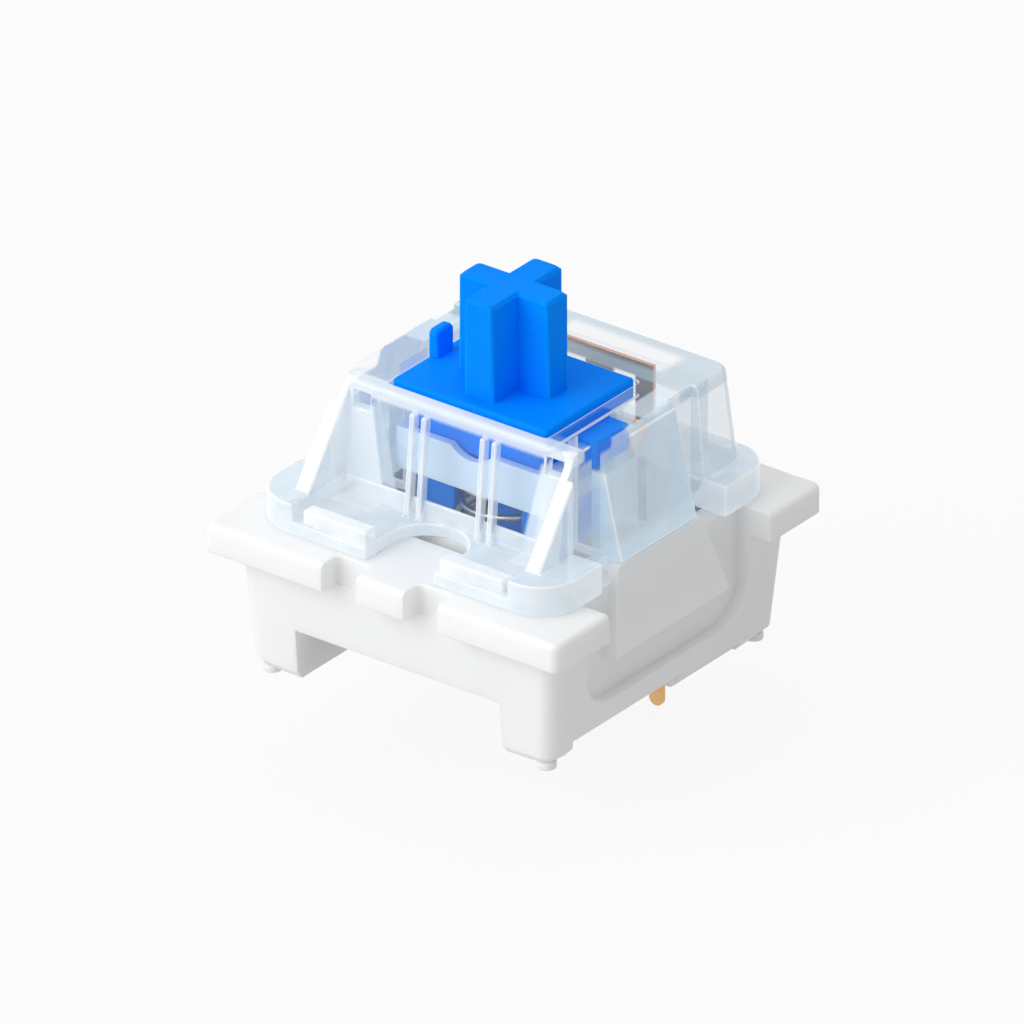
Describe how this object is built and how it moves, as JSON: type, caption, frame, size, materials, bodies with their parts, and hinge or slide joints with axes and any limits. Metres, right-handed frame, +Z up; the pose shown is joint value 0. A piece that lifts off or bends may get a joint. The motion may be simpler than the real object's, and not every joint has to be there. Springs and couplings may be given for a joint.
{
  "type": "mechanical keyboard switch",
  "caption": "Clicky mechanical key switch: clear cover and white base round a spring-loaded blue slider with a keycap cross.",
  "frame": {"origin": "centre of the plate cutout, in the plane where the flange's underside sits on the plate", "axes": "+Z up towards the keycap; -Y is the side with the light window, +Y the side with the contacts; the plate clips are on -X and +X"},
  "size_m": [0.0156, 0.0156, 0.0182],
  "materials": {
    "white_shell": "satin moulded, opaque milky white",
    "clear_cover": "clear moulded, polished",
    "blue_stem": "satin moulded, bright blue",
    "white_sleeve": "satin moulded, white",
    "spring_steel": "bright drawn wire",
    "copper_leaf": "rolled copper alloy",
    "terminal_brass": "stamped, lightly plated",
    "gold_bar": "gold inlay"
  },
  "bodies": {
    "housing": {"bottom_housing": "white_shell", "top_housing": "clear_cover", "return_spring": "spring_steel", "leaf_terminal": "terminal_brass", "fixed_terminal": "terminal_brass", "fixed_contact_point": "gold_bar"},
    "stem": {"stem": "blue_stem"},
    "jacket": {"click_jacket": "white_sleeve"},
    "leaf": {"contact_leaf": "copper_leaf", "moving_contact_point": "gold_bar"}
  },
  "joints": [
    {"name": "stem_travel", "type": "slide", "parent": "housing", "child": "stem", "axis": [0, 0, -1], "range_m": [0, 0.004], "stiffness_N_per_m": 85, "springref_m": -0.0035, "deforming": ["return_spring"]},
    {"name": "jacket_slide", "type": "slide", "parent": "stem", "child": "jacket", "axis": [0, 0, 1], "range_m": [0, 0.0009]},
    {"name": "leaf_flex", "type": "hinge", "parent": "housing", "child": "leaf", "pos_m": [0, 0.00487, -0.00082], "axis": [1, 0, 0], "range_deg": [0, 3]}
  ],
  "couplings": [
    {"joint": "leaf_flex", "follows": "stem_travel", "rad_per_m": 13}
  ]
}
